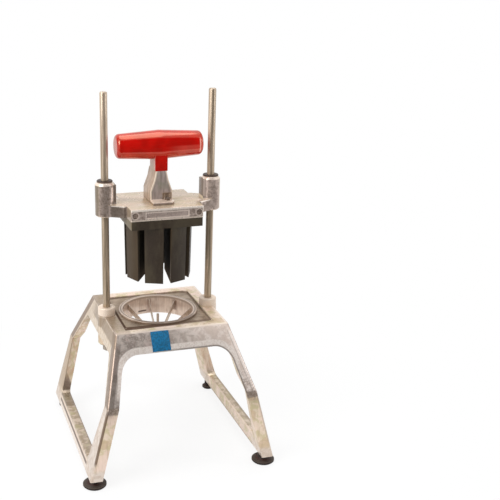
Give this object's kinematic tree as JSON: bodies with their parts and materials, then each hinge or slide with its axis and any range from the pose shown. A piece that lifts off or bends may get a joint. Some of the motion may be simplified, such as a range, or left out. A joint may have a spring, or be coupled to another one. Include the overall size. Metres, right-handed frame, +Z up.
{
  "type": "fruit wedger press",
  "caption": "Bench press that cuts an apple into wedges: four-legged cast base, ring of sloping blades, carriage with fingered pusher and T-grip sliding on two rods.",
  "frame": {"origin": "on the floor, in the middle of the four feet, midway between the two rods", "axes": "+X to the right from rod to rod, front faces -Y, +Z up along the rods"},
  "size_m": [0.2548, 0.2566, 0.47],
  "materials": {
    "cast_aluminium": "satin cast, buffed",
    "rod_steel": "satin",
    "collar_metal": "satin",
    "frame_steel": "satin",
    "ring_steel": "satin",
    "blade_steel": "polished",
    "fastener_steel": "satin",
    "bushing_plastic": "matte",
    "pusher_plastic": "satin",
    "grip_plastic": "glossy",
    "insert_brass": "machined",
    "foot_rubber": "matte",
    "label_film": "satin film"
  },
  "bodies": {
    "base": {"base_casting": "cast_aluminium", "guide_rod_left": "rod_steel", "guide_rod_right": "rod_steel", "rod_collar_left": "collar_metal", "rod_collar_right": "collar_metal", "collar_set_screws": "fastener_steel", "rod_washers": "fastener_steel", "rod_nuts": "fastener_steel", "blade_frame": "frame_steel", "blade_frame_screws": "fastener_steel", "blade_ring": "ring_steel", "slicing_blade_01": "blade_steel", "slicing_blade_02": "blade_steel", "slicing_blade_03": "blade_steel", "slicing_blade_04": "blade_steel", "slicing_blade_05": "blade_steel", "slicing_blade_06": "blade_steel", "slicing_blade_07": "blade_steel", "slicing_blade_08": "blade_steel", "blade_hub": "blade_steel", "size_label": "label_film", "foot_front_left": "foot_rubber", "foot_front_right": "foot_rubber", "foot_back_left": "foot_rubber", "foot_back_right": "foot_rubber", "foot_studs": "fastener_steel"},
    "carriage": {"carriage_casting": "cast_aluminium", "bushing_upper_left": "bushing_plastic", "bushing_lower_left": "bushing_plastic", "bushing_upper_right": "bushing_plastic", "bushing_lower_right": "bushing_plastic", "pusher_head": "pusher_plastic", "pusher_lock_screws": "fastener_steel", "handle_post": "cast_aluminium", "post_screw": "fastener_steel", "handle_grip": "grip_plastic", "grip_insert": "insert_brass", "handle_draw_bolt": "fastener_steel"}
  },
  "joints": [
    {"name": "carriage_slide", "type": "slide", "parent": "base", "child": "carriage", "axis": [0, 0, 1], "range_m": [-0.1205, 0.105]}
  ]
}
